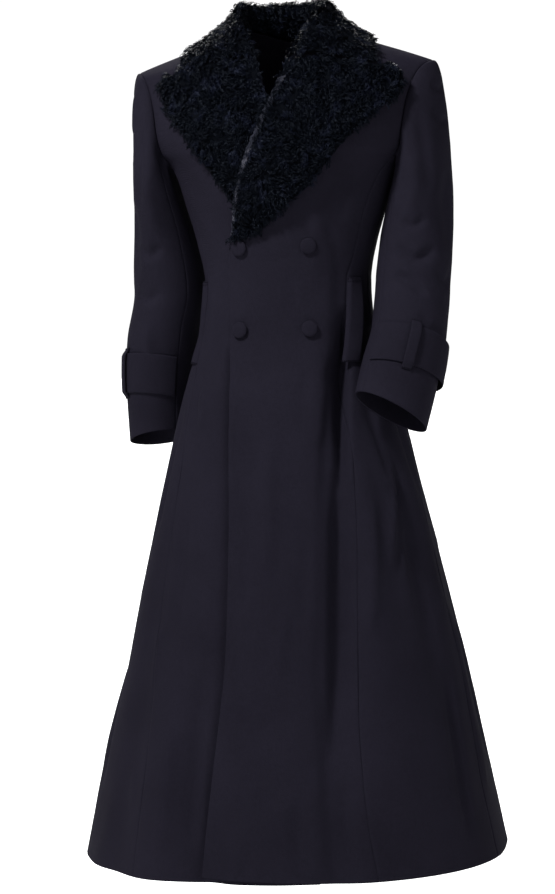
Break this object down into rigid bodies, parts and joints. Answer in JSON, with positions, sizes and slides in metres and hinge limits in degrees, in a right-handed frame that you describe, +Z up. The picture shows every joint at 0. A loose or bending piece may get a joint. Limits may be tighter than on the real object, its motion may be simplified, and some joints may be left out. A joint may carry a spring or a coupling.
{
  "type": "double-breasted overcoat with fur collar",
  "caption": "Full-length dark double-breasted overcoat, worn and hollow, with a fur collar, peaked fur lapels, welt pockets and strapped cuffs.",
  "frame": {"origin": "base of the neck on the middle plane, level with the neck points of the shoulders", "axes": "+Z up, -Y the front, +X the wearer's left"},
  "size_m": [0.7325, 0.6017, 1.5038],
  "materials": {
    "wool": "matte smooth wool",
    "fur": "curly pile",
    "button_cloth": "matte, cloth covered"
  },
  "bodies": {
    "root": {"front_left": "wool", "front_right": "wool", "side_left": "wool", "side_right": "wool", "back_left": "wool", "back_right": "wool", "lapel_left": "fur", "lapel_right": "fur", "collar": "fur", "sleeve_left_upper": "wool", "sleeve_left_under": "wool", "sleeve_right_upper": "wool", "sleeve_right_under": "wool", "cuff_strap_left": "wool", "cuff_loop_left": "wool", "cuff_strap_right": "wool", "cuff_loop_right": "wool", "pocket_welt_left": "wool", "pocket_welt_right": "wool", "button_upper_left": "button_cloth", "button_upper_right": "button_cloth", "button_lower_left": "button_cloth", "button_lower_right": "button_cloth"}
  },
  "joints": []
}
